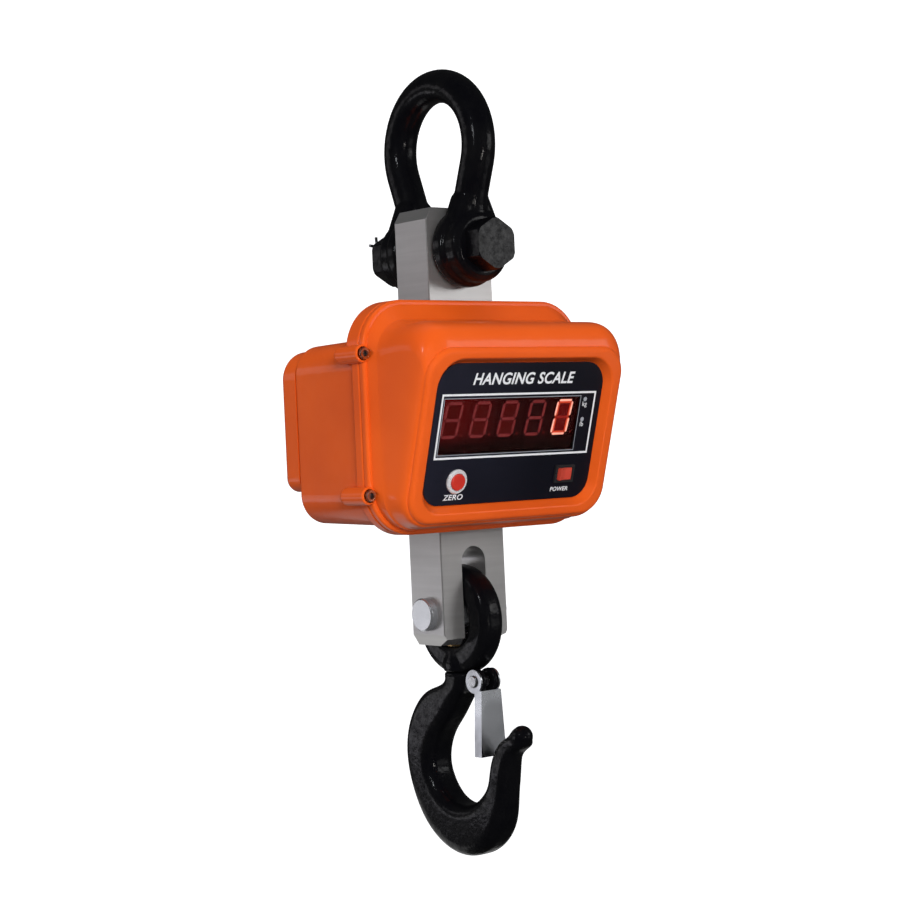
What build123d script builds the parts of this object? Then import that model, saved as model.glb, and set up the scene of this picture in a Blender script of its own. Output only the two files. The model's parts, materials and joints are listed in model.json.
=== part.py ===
"""Crane scale: shackle, load cell bar, two-shell housing with a tilted display, swivel hook.

Frame: millimetres, +Z up. The origin is the hang point, on the inside of the shackle's crown.
X runs across the front of the scale and the display faces -Y. The load axis is X = Y = 0.
"""
from build123d import *
import math
import os

# ---------------------------------------------------------------- driving dimensions
# shackle
BOW_STOCK = 28.5            # diameter of the bent bar
BOW_INSIDE_RADIUS = 39.0    # inside radius of the crown
BOW_LEAN = 20.0             # degrees that each leg leans inward below the crown
BOW_FLARE_RADIUS = 60.0     # radius where each leg turns upright into its ear
PIN_Z = -127.0              # axis of the shackle bolt
BOLT_DIAMETER = 30.0
JAW_HALF = 24.5             # half of the jaw opening
EAR_RADIUS = 33.5
EAR_THICKNESS = 28.0
HEX_FLATS = 39.0
BOLT_HEAD_HEIGHT = 17.0
NUT_FLATS = 42.0
NUT_HEIGHT = 19.0
RUNNING_GAP = 0.05          # radial gap of a shaft in its bore

# load cell bar
BAR_WIDTH = 70.0
BAR_DEPTH = 43.0
BAR_TOP = -92.4
BAR_BOTTOM = -462.0
BAR_CHAMFER_X = 6.5
BAR_CHAMFER_Z = 10.0
FOOT_CHAMFER_Y = 14.0       # chamfer on the front of the bar's lower end
FOOT_CHAMFER_Z = 6.0
SLOT_WIDTH = 26.0
SLOT_TOP = -379.0
LOWER_PIN_Z = -435.0
LOWER_PIN_RADIUS = 14.0
LOWER_PIN_REACH = 42.0      # how far each pin end stands from the load axis

# housing, heights measured from the level of the display's middle line
LEVEL = -297.0
SPLIT_Y = -31.0             # plane where the front and rear shells meet
RIM_HALF = 119.0
RIM_BOTTOM = -68.0
RIM_TOP = 125.0
RIM_CORNER = 42.0
FRONT_RIM_DEPTH = 7.0
REAR_RIM_DEPTH = 11.0
ARCH_DEPTH = 18.0           # depth of the rear rim above the upper screws
WALL = 3.0
BOX_HALF = 116.0
BOX_BOTTOM = -60.0
BOX_TOP = 95.5
BOX_CORNER = 27.0
BOX_BACK_Y = 68.0
BOX_DRAFT = 2.5             # how much narrower the box is at its back
BRACKET_HEIGHTS = (76.0, -43.0)
DOOR_BACK_Y = 90.0
DOOR_BOTTOM = -30.0
DOOR_TOP = 90.0
BOSS_X = 119.5
BOSS_HEIGHTS = (81.0, -34.0)
BOSS_RADIUS = 7.5
BOSS_END_Y = -6.0
SEAM_ROUND = 1.8            # rounding of both rims where they meet

# display panel, tilted so that it looks slightly down
PANEL_TILT = 16.8
PANEL_Y = -80.5             # panel face at the display's middle line
BEZEL_PROUD = 6.2           # bezel face ahead of the panel face
BEZEL_ROUND = 4.5           # rounding of the bezel's outer edge
MOUTH_ROUND = 2.0           # rounding of the edge round the panel's recess
PANEL_HALF = 90.0
PANEL_LOW = -47.0
PANEL_HIGH = 72.0
WINDOW_LEFT = -80.5
WINDOW_RIGHT = 66.5
WINDOW_LOW = -4.2
WINDOW_HIGH = 42.3
DIGIT_PITCH = 29.8
ZERO_U, ZERO_V = -56.7, -26.8
ROCKER_U, ROCKER_V = 60.2, -25.0
ROCKER_TILT = 8.0           # degrees that the rocker rests pressed to one side
PIVOT_W = -2.5              # rocker's axis below the panel face
TRUNNION_RADIUS = 1.2

# eye link and hook, heights measured from LEVEL
EYE_SECTION = 24.0
EYE_INSIDE = 21.0
EYE_OUTSIDE = 47.0
EYE_GAP = 0.3
BOSS_BASE = -189.0          # flat underside of the eye link's boss
NUT_SEAT = -167.0
SHANK_RADIUS = 8.5
NECK_RADIUS = 15.0
BOWL_Y = -3.5
BOWL_LEVEL = -266.0
BOWL_RADIUS = 36.5
LATCH_Y = -27.2
LATCH_LEVEL = -196.0
LATCH_PIN_RADIUS = 3.0
LATCH_FACE_Y = -37.2

NODES = {}


# ---------------------------------------------------------------- helpers
def block(x0, x1, y0, y1, z0, z1):
    """Box between two corners."""
    middle = Pos((x0 + x1) / 2, (y0 + y1) / 2, (z0 + z1) / 2)
    return middle * Box(abs(x1 - x0), abs(y1 - y0), abs(z1 - z0))


def rod_x(radius, x0, x1, y=0.0, z=0.0):
    """Round bar along X."""
    return Pos((x0 + x1) / 2, y, z) * Rot(0, 90, 0) * Cylinder(radius, abs(x1 - x0))


def rod_y(radius, y0, y1, x=0.0, z=0.0):
    """Round bar along Y."""
    return Pos(x, (y0 + y1) / 2, z) * Rot(90, 0, 0) * Cylinder(radius, abs(y1 - y0))


def rod_z(radius, z0, z1, x=0.0, y=0.0):
    """Round bar along Z."""
    return Pos(x, y, (z0 + z1) / 2) * Cylinder(radius, abs(z1 - z0))


def hexagon_y(flats, y0, y1, x=0.0, z=0.0):
    """Hexagonal prism along Y with a corner up and its outer corners turned down."""
    outline = Rot(0, 0, 30) * RegularPolygon(flats / 2, 6, major_radius=False)
    prism = extrude(outline, abs(y1 - y0) / 2, both=True)
    turned = Cylinder(flats / 2 * 1.14, abs(y1 - y0))
    turned = chamfer(turned.edges(), flats * 0.035)
    return Pos(x, (y0 + y1) / 2, z) * Rot(90, 0, 0) * (prism & turned)


def upright_sheet(points, y0, y1):
    """Flat sheet between two depths, outlined by (X, Z) points."""
    face = Plane.XZ * Polygon(*points, align=None)
    return Pos(0, (y0 + y1) / 2, 0) * extrude(face, abs(y1 - y0) / 2, both=True)


def keep(name, *solids):
    """Store one node made of one or more separate solids."""
    NODES[name] = solids[0] if len(solids) == 1 else Compound(children=list(solids))


def outline(half, low, high, top_radius, low_radius):
    """Rounded rectangle on a local plane: half width, lowest and highest line."""
    sketch = Pos(0, (low + high) / 2) * Rectangle(2 * half, high - low)
    rows = sketch.vertices().group_by(Axis.Y)
    sketch = fillet(rows[-1], top_radius)
    rows = sketch.vertices().group_by(Axis.Y)
    return fillet(rows[0], low_radius)


def wall_plane(y):
    """Upright plane at a depth, local Y up, looking forward."""
    return Plane(origin=(0, y, LEVEL), x_dir=(1, 0, 0), z_dir=(0, -1, 0))


def upright(y, half, low, high, top_radius, low_radius):
    """Rounded rectangle face on an upright plane."""
    return wall_plane(y) * outline(half, low, high, top_radius, low_radius)


def slab(y0, y1, half, low, high, top_radius, low_radius):
    """Rounded plate between two depths, y0 behind y1."""
    return extrude(upright(y0, half, low, high, top_radius, low_radius), y0 - y1)


tilt = math.radians(PANEL_TILT)
PANEL_NORMAL = (0, -math.cos(tilt), -math.sin(tilt))
PANEL_PLANE = Plane(origin=(0, PANEL_Y, LEVEL), x_dir=(1, 0, 0), z_dir=PANEL_NORMAL)
PANEL = PANEL_PLANE.location
PANEL_AXIS = Axis((0, PANEL_Y, LEVEL), PANEL_NORMAL)


def panel_block(u0, u1, v0, v1, w0, w1):
    """Box in the panel's frame: u across, v up the panel, w out of its face."""
    return PANEL * block(u0, u1, v0, v1, w0, w1)


def panel_rod(radius, u, v, w0, w1):
    """Round bar square to the panel."""
    return PANEL * rod_z(radius, w0, w1, u, v)


def panel_face(w, half, low, high, top_radius, low_radius):
    """Rounded rectangle face parallel to the panel, w ahead of it."""
    return PANEL * (Pos(0, 0, w) * outline(half, low, high, top_radius, low_radius))


def leaning(y, lean, half, low, high, top_radius, low_radius):
    """Rounded rectangle face that leans forward at its top, given by its heights above the level."""
    turn = math.radians(lean)
    plane = Plane(origin=(0, y, LEVEL), x_dir=(1, 0, 0), z_dir=(0, -math.cos(turn), -math.sin(turn)))
    return plane * outline(half, low / math.cos(turn), high / math.cos(turn), top_radius, low_radius)


def bezel_rings():
    """Outlines that round the bezel's outer edge, from its side to its flat face."""
    rings = []
    for step in range(5):
        turn = math.radians(22.5 * step)
        inset = BEZEL_ROUND * (1 - math.cos(turn))
        ahead = BEZEL_PROUD - BEZEL_ROUND * (1 - math.sin(turn))
        rings.append(panel_face(ahead, 106 - inset, -61.5 + inset, 85.5 - inset, 25 - inset, 24 - inset))
    return rings


def bezel_face(body):
    """Flat bezel face, the body's foremost plane."""
    return body.faces().filter_by(GeomType.PLANE).sort_by(PANEL_AXIS)[-1]


# ---------------------------------------------------------------- shackle
def shackle():
    """Bow with forged ears, bolt, nut and cotter pin."""
    stock = BOW_STOCK / 2
    ear_y = JAW_HALF + EAR_THICKNESS / 2
    crown = BOW_INSIDE_RADIUS + stock
    lean = math.radians(BOW_LEAN)
    bend_in = crown * math.cos(lean) - ear_y
    straight = (bend_in - BOW_FLARE_RADIUS * (1 - math.cos(lean))) / math.sin(lean)
    low_z = (-BOW_INSIDE_RADIUS - crown * math.sin(lean)
             - straight * math.cos(lean) - BOW_FLARE_RADIUS * math.sin(lean))
    rise = JernArc((-ear_y, low_z), (0, 1), BOW_FLARE_RADIUS, BOW_LEAN)
    leg = Line(rise @ 1, rise @ 1 + (rise % 1) * straight)
    top = JernArc(leg @ 1, leg % 1, crown, -(180 + 2 * BOW_LEAN))
    leg_down = Line(top @ 1, top @ 1 + (top % 1) * straight)
    drop = JernArc(leg_down @ 1, leg_down % 1, BOW_FLARE_RADIUS, BOW_LEAN)
    path = Plane.YZ * (Curve() + [rise, leg, top, leg_down, drop])
    start = Plane(origin=path @ 0, z_dir=path % 0)
    bow = sweep(start * Circle(stock), path=path)
    for side in (-1, 1):
        inner = side * JAW_HALF
        outer = side * (JAW_HALF + EAR_THICKNESS)
        ear = fillet(rod_y(EAR_RADIUS, inner, ear_y * side, z=PIN_Z).edges(), 4.0)
        step = fillet(rod_y(EAR_RADIUS - 3, inner + side, outer, z=PIN_Z).edges(), 4.0)
        shoulder = Plane.XZ * Polygon((-13, PIN_Z + 47), (13, PIN_Z + 47),
                                      (28, PIN_Z + 12), (-28, PIN_Z + 12), align=None)
        web = Pos(0, side * ear_y, 0) * extrude(shoulder, EAR_THICKNESS / 2 - 2.0, both=True)
        web = fillet(web.edges(), 8.0)
        collar = rod_y(EAR_RADIUS - 8, outer - side * 2, outer + side * 1.5, z=PIN_Z)
        bow = bow + ear + step + web + collar
    bow = bow - rod_y(BOLT_DIAMETER / 2 + RUNNING_GAP, -90, 90, z=PIN_Z)
    keep("shackle_bow", bow)

    face = JAW_HALF + EAR_THICKNESS + 1.5
    tail = face + NUT_HEIGHT + 8
    shank = chamfer(rod_y(BOLT_DIAMETER / 2, -face, tail, z=PIN_Z).edges(), 1.5)
    head = hexagon_y(HEX_FLATS, -face - BOLT_HEAD_HEIGHT, -face, z=PIN_Z)
    cotter_y = tail - 4
    across = Pos(0, cotter_y, PIN_Z) * Rot(0, -45, 0)
    bolt = shank + head - across * Cylinder(2.6, 40)
    keep("shackle_bolt", bolt)
    nut = hexagon_y(NUT_FLATS, face, face + NUT_HEIGHT, z=PIN_Z)
    keep("shackle_nut", nut - rod_y(BOLT_DIAMETER / 2, 0, 90, z=PIN_Z))

    eye = Pos(0, 0, -20) * Rot(90, 0, 0) * Torus(3.5, 1.6)
    legs = Cylinder(2.4, 35)
    splay = [Pos(2.5 * side, 0, 20) * Rot(0, 40 * side, 0) * Cylinder(1.3, 9) for side in (-1, 1)]
    keep("cotter_pin", across * (eye + legs + splay[0] + splay[1]))


# ---------------------------------------------------------------- load cell bar
def load_bar():
    """Bar with the upper bolt bore, lower fork slot and pin bore, and the gauge pockets."""
    half = BAR_WIDTH / 2
    right = [(half - BAR_CHAMFER_X, BAR_TOP), (half, BAR_TOP - BAR_CHAMFER_Z),
             (half, BAR_BOTTOM + BAR_CHAMFER_Z), (half - BAR_CHAMFER_X, BAR_BOTTOM)]
    left = [(-x, z) for x, z in reversed(right)]
    depth = BAR_DEPTH / 2
    bar = upright_sheet(right + left, -depth, depth)
    bar = chamfer(bar.edges().filter_by(Axis.Z), 0.8)
    end_view = Polygon((depth, BAR_TOP), (depth, BAR_BOTTOM), (FOOT_CHAMFER_Y - depth, BAR_BOTTOM),
                       (-depth, BAR_BOTTOM + FOOT_CHAMFER_Z), (-depth, BAR_TOP), align=None)
    bar = bar & extrude(Plane.YZ * end_view, half, both=True)
    bar = bar - rod_y(BOLT_DIAMETER / 2 + RUNNING_GAP, -30, 30, z=PIN_Z)
    slot = block(-SLOT_WIDTH / 2, SLOT_WIDTH / 2, -30, 30, BAR_BOTTOM - 5, SLOT_TOP - SLOT_WIDTH / 2)
    bar = bar - slot - rod_y(SLOT_WIDTH / 2, -30, 30, z=SLOT_TOP - SLOT_WIDTH / 2)
    bar = bar - rod_x(LOWER_PIN_RADIUS, -40, 40, z=LOWER_PIN_Z)
    gauge_z = LEVEL + 30
    covers = []
    gauges = []
    for side in (-1, 1):
        surface = side * BAR_DEPTH / 2
        bar = bar - rod_y(16, surface - side * 14, surface + side, z=gauge_z)
        covers.append(rod_y(19, surface, surface + side * 2, z=gauge_z))
        for x in (-6, 6):
            floor = surface - side * 14
            gauges.append(block(x - 3, x + 3, floor, floor + side * 0.5, gauge_z - 5, gauge_z + 5))
    bar = bar - rod_x(3.5, -BAR_WIDTH / 2 - 1, -8, y=-14, z=gauge_z)
    for level in BRACKET_HEIGHTS:
        for x in (-20, 20):
            bar = bar - rod_y(4, 8, 22, x=x, z=LEVEL + level)
    keep("load_bar", bar)
    keep("gauge_covers", *covers)
    keep("strain_gauges", *gauges)

    gland = rod_x(6, -45, -35, y=-14, z=gauge_z) + rod_x(3.4, -35, -25, y=-14, z=gauge_z)
    keep("sensor_gland", gland - rod_x(2.5, -46, -24, y=-14, z=gauge_z))


def lower_pin():
    """Pin across the fork, with a head on one side and a retaining ring on the other."""
    pin = rod_x(LOWER_PIN_RADIUS, -LOWER_PIN_REACH, LOWER_PIN_REACH, z=LOWER_PIN_Z)
    pin = chamfer(pin.edges(), 1.2)
    ring_x = BAR_WIDTH / 2 + 0.3
    groove = (rod_x(LOWER_PIN_RADIUS + 1, ring_x, ring_x + 2, z=LOWER_PIN_Z)
              - rod_x(LOWER_PIN_RADIUS - 1.5, ring_x, ring_x + 2, z=LOWER_PIN_Z))
    keep("lower_pin", pin - groove)
    ring = (rod_x(LOWER_PIN_RADIUS + 2.5, ring_x, ring_x + 2, z=LOWER_PIN_Z)
            - rod_x(LOWER_PIN_RADIUS - 1.5, ring_x, ring_x + 2, z=LOWER_PIN_Z))
    gap = block(ring_x - 1, ring_x + 3, -3, 3, LOWER_PIN_Z - 20, LOWER_PIN_Z)
    keep("pin_circlip", ring - gap)


# ---------------------------------------------------------------- housing
def front_shell():
    """Lofted front shell with its bezel, recess, ledge, rim and screw lugs."""
    front_y = SPLIT_Y - FRONT_RIM_DEPTH
    rim = slab(SPLIT_Y, front_y, RIM_HALF, RIM_BOTTOM, RIM_TOP, RIM_CORNER, RIM_CORNER)
    rim = fillet(rim.edges().group_by(Axis.Y)[0], 2.5)
    rim = fillet(rim.edges().group_by(Axis.Y)[-1], SEAM_ROUND)
    foot = upright(front_y, 115.5, RIM_BOTTOM + 3.5, RIM_TOP - 4, RIM_CORNER - 3, RIM_CORNER - 3)
    hip = upright(-48, 113, -64, 108, 30, 32)
    crest = leaning(-59, 6, 111.5, -62.5, 104.5, 25, 30)
    brow = leaning(-76.7, 13.5, 109, -61.5, 98, 24, 27)
    nose = bezel_rings()
    body = (extrude(foot, front_y - SPLIT_Y) + loft([foot, hip], ruled=True)
            + loft([hip, crest, brow, nose[0]]) + loft(nose, ruled=True))
    body = body + rim
    lugs = []
    for side in (-1, 1):
        for level in BOSS_HEIGHTS:
            lugs.append(rod_y(BOSS_RADIUS, SPLIT_Y, front_y - 1.0, side * BOSS_X, LEVEL + level))
    for lug in lugs:
        body = body + fillet(lug.edges().group_by(Axis.Y)[0], 1.5)

    inner_foot = upright(SPLIT_Y, 112, RIM_BOTTOM + 7, RIM_TOP - 9, RIM_CORNER - 7, RIM_CORNER - 7)
    inner = [inner_foot, upright(-48, 109, -60, 104, 27, 29), leaning(-57, 6, 107.5, -59, 100.5, 22, 27),
             leaning(-71, 13.5, 104.5, -57.5, 93, 22, 24), panel_face(-6.0, 101.5, -57, 81, 22, 21)]
    cavity = loft(inner, ruled=True)
    body = body - cavity

    mouth = panel_face(BEZEL_PROUD + 0.5, 95.5, -52.5, 77.5, 26, 21)
    floor = panel_face(-2.0, PANEL_HALF, PANEL_LOW, PANEL_HIGH, 21, 17)
    body = body - loft([floor, mouth], ruled=True)
    body = fillet(bezel_face(body).inner_wires()[0].edges(), MOUTH_ROUND)
    opening = panel_face(-12.0, PANEL_HALF - 8, PANEL_LOW + 7, PANEL_HIGH - 9, 14, 12)
    body = body - extrude(opening, 14)

    groove_out = upright(SPLIT_Y - 2, RIM_HALF - 2.5, RIM_BOTTOM + 2.5, RIM_TOP - 2.5,
                         RIM_CORNER - 2.5, RIM_CORNER - 2.5)
    groove_in = upright(SPLIT_Y - 2, RIM_HALF - 5, RIM_BOTTOM + 5, RIM_TOP - 5,
                        RIM_CORNER - 5, RIM_CORNER - 5)
    ring = extrude(groove_out - groove_in, -2)
    body = body - ring
    keep("shell_gasket", ring)
    for side in (-1, 1):
        for level in BOSS_HEIGHTS:
            body = body - rod_y(3.3, SPLIT_Y + 1, -50, side * BOSS_X, LEVEL + level)
            body = body - rod_y(5.8, front_y - 12, front_y + 2.5, side * BOSS_X, LEVEL + level)
    keep("front_shell", body)


def rear_shell():
    """Boxy rear shell with its rim, screw bosses, bar openings and battery opening."""
    rim_back = SPLIT_Y + REAR_RIM_DEPTH
    rim = slab(rim_back, SPLIT_Y, RIM_HALF, RIM_BOTTOM, RIM_TOP, RIM_CORNER, RIM_CORNER)
    rim = fillet(rim.edges().group_by(Axis.Y)[-1], 2.5)
    rim = fillet(rim.edges().group_by(Axis.Y)[0], SEAM_ROUND)
    arch = slab(SPLIT_Y + ARCH_DEPTH, SPLIT_Y + 3, RIM_HALF, RIM_BOTTOM, RIM_TOP, RIM_CORNER, RIM_CORNER)
    arch = arch & block(-150, 150, -60, 60, LEVEL + BOSS_HEIGHTS[0], LEVEL + RIM_TOP + 5)
    arch = fillet(arch.edges().group_by(Axis.Y)[-1].sort_by(Axis.Z)[1:], 3.0)
    near = upright(SPLIT_Y, BOX_HALF, BOX_BOTTOM, BOX_TOP, BOX_CORNER, BOX_CORNER)
    far = upright(BOX_BACK_Y, BOX_HALF - BOX_DRAFT, BOX_BOTTOM + BOX_DRAFT, BOX_TOP - 2,
                  BOX_CORNER - 2, BOX_CORNER - 2)
    box = loft([near, far], ruled=True)
    box = fillet(box.edges().group_by(Axis.Y)[-1], 4.0)
    inner_near = upright(SPLIT_Y, BOX_HALF - WALL, BOX_BOTTOM + WALL, BOX_TOP - WALL, 24, 24)
    inner_far = upright(BOX_BACK_Y - WALL, BOX_HALF - BOX_DRAFT - WALL,
                        BOX_BOTTOM + BOX_DRAFT + WALL, BOX_TOP - 2 - WALL, 22, 22)
    pocket = slab(rim_back - WALL, SPLIT_Y, 112, RIM_BOTTOM + 7, RIM_TOP - 9,
                  RIM_CORNER - 7, RIM_CORNER - 7)
    shell = rim + arch + box
    for side in (-1, 1):
        for level in BOSS_HEIGHTS:
            boss = rod_y(BOSS_RADIUS, SPLIT_Y, BOSS_END_Y, side * BOSS_X, LEVEL + level)
            shell = shell + fillet(boss.edges().group_by(Axis.Y)[-1], 4.5)
    shell = shell - loft([inner_near, inner_far], ruled=True) - pocket
    for side in (-1, 1):
        for level in BOSS_HEIGHTS:
            sleeve = rod_y(BOSS_RADIUS - 1, SPLIT_Y, BOSS_END_Y - 5, side * BOSS_X, LEVEL + level)
            shell = shell + sleeve - rod_y(3.0, SPLIT_Y - 1, BOSS_END_Y - 6, side * BOSS_X, LEVEL + level)
        for level in BRACKET_HEIGHTS:
            post = rod_y(6, 25.5, BOX_BACK_Y - 2, side * 85, LEVEL + level)
            shell = shell + post - rod_y(2.5, 24, 45, side * 85, LEVEL + level)
    shell = shell - block(-36.5, 36.5, -23, 23, LEVEL + RIM_TOP + 5, LEVEL + RIM_BOTTOM - 5)
    shell = shell - slab(BOX_BACK_Y + 3, BOX_BACK_Y - 6, 62, -5, 78, 8, 8)
    for x, level in door_screw_places():
        shell = shell - rod_y(2.0, BOX_BACK_Y - 4, BOX_BACK_Y + 1, x, LEVEL + level)
    keep("rear_shell", shell)

    for name, level in zip(("upper_bracket", "lower_bracket"), BRACKET_HEIGHTS):
        plate = block(-95, 95, 21.5, 25.5, LEVEL + level - 7, LEVEL + level + 7)
        for x in (-20, 20):
            plate = plate - rod_y(4.5, 20, 27, x, LEVEL + level)
        for x in (-85, 85):
            plate = plate - rod_y(2.8, 20, 27, x, LEVEL + level)
        keep(name, plate)
    bar_screws = []
    bracket_screws = []
    for level in BRACKET_HEIGHTS:
        for x in (-20, 20):
            head = rod_y(6.5, 25.5, 31, x, LEVEL + level)
            socket = hexagon_y(6, 28, 32, x, LEVEL + level)
            bar_screws.append(head + rod_y(4, 9, 26, x, LEVEL + level) - socket)
        for x in (-85, 85):
            head = rod_y(4.5, 18.5, 21.5, x, LEVEL + level)
            bracket_screws.append(head + rod_y(2.5, 20, 44, x, LEVEL + level))
    keep("bar_screws", *bar_screws)
    keep("bracket_screws", *bracket_screws)

    for name, low, high, lip in (("seal_upper", BOX_TOP - 8, BOX_TOP + 3, BOX_TOP - 8),
                                 ("seal_lower", BOX_BOTTOM - 4, BOX_BOTTOM + 8, BOX_BOTTOM + 6)):
        collar = block(-36.4, 36.4, -22.9, 22.9, LEVEL + low, LEVEL + high)
        collar = collar + block(-41, 41, -20.5, 27, LEVEL + lip, LEVEL + lip + 2)
        keep(name, collar - block(-35, 35, -21.5, 21.5, LEVEL + low - 1, LEVEL + high + 1))


def shell_screws():
    """Four socket head screws that clamp the front shell to the rear shell."""
    screws = []
    seat = SPLIT_Y - FRONT_RIM_DEPTH + 2.5
    for side in (-1, 1):
        for level in BOSS_HEIGHTS:
            x = side * BOSS_X
            z = LEVEL + level
            head = chamfer(rod_y(5, seat - 6, seat, x, z).edges().group_by(Axis.Y)[0], 0.6)
            shank = rod_y(3, seat, BOSS_END_Y - 7, x, z)
            screws.append(head + shank - hexagon_y(5, seat - 7, seat - 3, x, z))
    keep("shell_screws", *screws)


# ---------------------------------------------------------------- battery side
def door_screw_places():
    """Places of the four door screws: X and height above the level line."""
    return [(side * 92, level) for side in (-1, 1) for level in (75, -15)]


def battery_door():
    """Dished door over the battery, with its gasket, screws and charging socket."""
    half = BOX_HALF - BOX_DRAFT - 0.5
    body = slab(DOOR_BACK_Y, BOX_BACK_Y, half, DOOR_BOTTOM, DOOR_TOP, 25, 12)
    body = fillet(body.edges().group_by(Axis.Y)[-1], 6.0)
    body = body - slab(DOOR_BACK_Y - WALL, BOX_BACK_Y, half - 7, DOOR_BOTTOM + 7, DOOR_TOP - 7, 18, 6)
    for x, level in door_screw_places():
        body = body + rod_y(6, BOX_BACK_Y, DOOR_BACK_Y - 2, x, LEVEL + level)
        body = body - rod_y(2.3, BOX_BACK_Y - 1, DOOR_BACK_Y + 1, x, LEVEL + level)
        body = body - rod_y(4.6, DOOR_BACK_Y - 2.5, DOOR_BACK_Y + 1, x, LEVEL + level)
    ring_out = upright(BOX_BACK_Y + 2, half - 2.5, DOOR_BOTTOM + 2.5, DOOR_TOP - 2.5, 22.5, 9.5)
    ring_in = upright(BOX_BACK_Y + 2, half - 5, DOOR_BOTTOM + 5, DOOR_TOP - 5, 20, 7)
    ring = extrude(ring_out - ring_in, 2)
    body = body - ring
    keep("door_gasket", ring)
    socket_x, socket_z = -88, LEVEL + 22
    body = body - rod_y(6.1, BOX_BACK_Y + 5, DOOR_BACK_Y + 1, socket_x, socket_z)
    keep("battery_door", body)

    screws = []
    for x, level in door_screw_places():
        head = fillet(rod_y(4.3, DOOR_BACK_Y - 2.5, DOOR_BACK_Y + 0.5, x, LEVEL + level)
                      .edges().group_by(Axis.Y)[-1], 1.0)
        shank = rod_y(2.0, BOX_BACK_Y - 3.5, DOOR_BACK_Y - 2.5, x, LEVEL + level)
        screws.append(head + shank - hexagon_y(2.6, DOOR_BACK_Y - 1, DOOR_BACK_Y + 1, x, LEVEL + level))
    keep("door_screws", *screws)

    barrel = rod_y(6.1, DOOR_BACK_Y - 10, DOOR_BACK_Y, socket_x, socket_z)
    flange = rod_y(8.5, DOOR_BACK_Y, DOOR_BACK_Y + 2, socket_x, socket_z)
    neck = rod_y(6.5, DOOR_BACK_Y, DOOR_BACK_Y + 6, socket_x, socket_z)
    hole = rod_y(4, DOOR_BACK_Y - 8, DOOR_BACK_Y + 7, socket_x, socket_z)
    keep("charge_socket", barrel + flange + neck - hole)
    cap = rod_y(8, DOOR_BACK_Y + 2, DOOR_BACK_Y + 9, socket_x, socket_z)
    cap = fillet(cap.edges().group_by(Axis.Y)[-1], 1.5)
    keep("socket_cap", cap - rod_y(6.5, DOOR_BACK_Y + 1, DOOR_BACK_Y + 6, socket_x, socket_z))


def battery():
    """Sealed battery standing in a folded tray, both reached through the door."""
    cell = block(-50, 50, 30, 77, LEVEL + 2, LEVEL + 68)
    cell = fillet(cell.edges().filter_by(Axis.Z), 3)
    for x in (-38, 38):
        cell = cell + block(x - 3, x + 3, 50, 51, LEVEL + 68, LEVEL + 73)
    keep("battery", cell)
    tray = block(-52, 52, 28.4, 79, LEVEL + 0.4, LEVEL + 2)
    tray = tray + block(-52, 52, 28.4, 30, LEVEL + 0.4, LEVEL + 30)
    for side in (-1, 1):
        tray = tray + block(side * 50, side * 51.6, 28.4, 79, LEVEL + 0.4, LEVEL + 20)
    hanger = block(-12, 12, 25.5, 28.4, LEVEL - 50, LEVEL - 38) + block(
        -12, 12, 26.8, 28.4, LEVEL - 50, LEVEL + 30)
    keep("battery_tray", tray + hanger - block(-60, 60, 20, 26.8, LEVEL - 37.5, LEVEL + 40))


# ---------------------------------------------------------------- display panel
def panel():
    """Panel plate, display filter, digit blocks, boards and their spacers."""
    plate = extrude(panel_face(-2.0, PANEL_HALF - 0.3, PANEL_LOW + 0.3, PANEL_HIGH - 0.3, 20.7, 16.7), 2.0)
    plate = plate - panel_block(WINDOW_LEFT, WINDOW_RIGHT, WINDOW_LOW, WINDOW_HIGH, -3, 1)
    plate = plate - panel_rod(8.8, ZERO_U, ZERO_V, -3, 1)
    plate = plate - panel_block(ROCKER_U - 9.6, ROCKER_U + 9.6, ROCKER_V - 6.7, ROCKER_V + 6.7, -3, 1)
    keep("panel_plate", plate)
    keep("display_filter", panel_block(WINDOW_LEFT, WINDOW_RIGHT, WINDOW_LOW, WINDOW_HIGH, -2, -0.4))
    middle_v = 24.4
    first_u = -68.5
    digits = [panel_block(first_u + i * DIGIT_PITCH - 13, first_u + i * DIGIT_PITCH + 13,
                          middle_v - 18, middle_v + 18, -13, -5) for i in range(5)]
    keep("display_digits", *digits)
    keep("display_board", panel_block(-80, 80, -10, 52, -14.6, -13))
    board = panel_block(-74, 74, -38, 52, -34, -32.4)
    for u, v, width, height, depth in ((-30, 20, 26, 26, 4), (20, 30, 18, 12, 3), (35, -10, 30, 14, 10),
                                       (-28, -20, 12, 20, 8), (0, -25, 10, 10, 12)):
        board = board + panel_block(u - width / 2, u + width / 2, v - height / 2, v + height / 2,
                                    -32.5, -32.4 + depth)
    keep("main_board", board)
    spacers = []
    for u in (-72, 72):
        for v in (-7, 49):
            spacers.append(panel_rod(2.5, u, v, -13, -2))
            spacers.append(panel_rod(2.5, u, v, -32.4, -14.6))
    keep("board_spacers", *spacers)


def zero_button():
    """Chrome bezel with its switch body, and the cap that travels in it."""
    ring = panel_rod(10.3, ZERO_U, ZERO_V, 0, 2.2)
    ring = chamfer(ring.edges().filter_by(GeomType.CIRCLE).group_by(Axis.Y)[0], 0.9)
    barrel = panel_rod(8.7, ZERO_U, ZERO_V, -20, 0)
    body = ring + barrel - panel_rod(7.3, ZERO_U, ZERO_V, -9, 3)
    for side in (-1, 1):
        body = body + panel_block(ZERO_U + side * 3 - 0.5, ZERO_U + side * 3 + 0.5,
                                  ZERO_V - 1.5, ZERO_V + 1.5, -26, -19)
    keep("zero_bezel", body)
    cap = panel_rod(7.0, ZERO_U, ZERO_V, -6, 3.6)
    keep("zero_cap", fillet(cap.edges().filter_by(GeomType.CIRCLE).group_by(Axis.Y)[0], 0.8))


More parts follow.
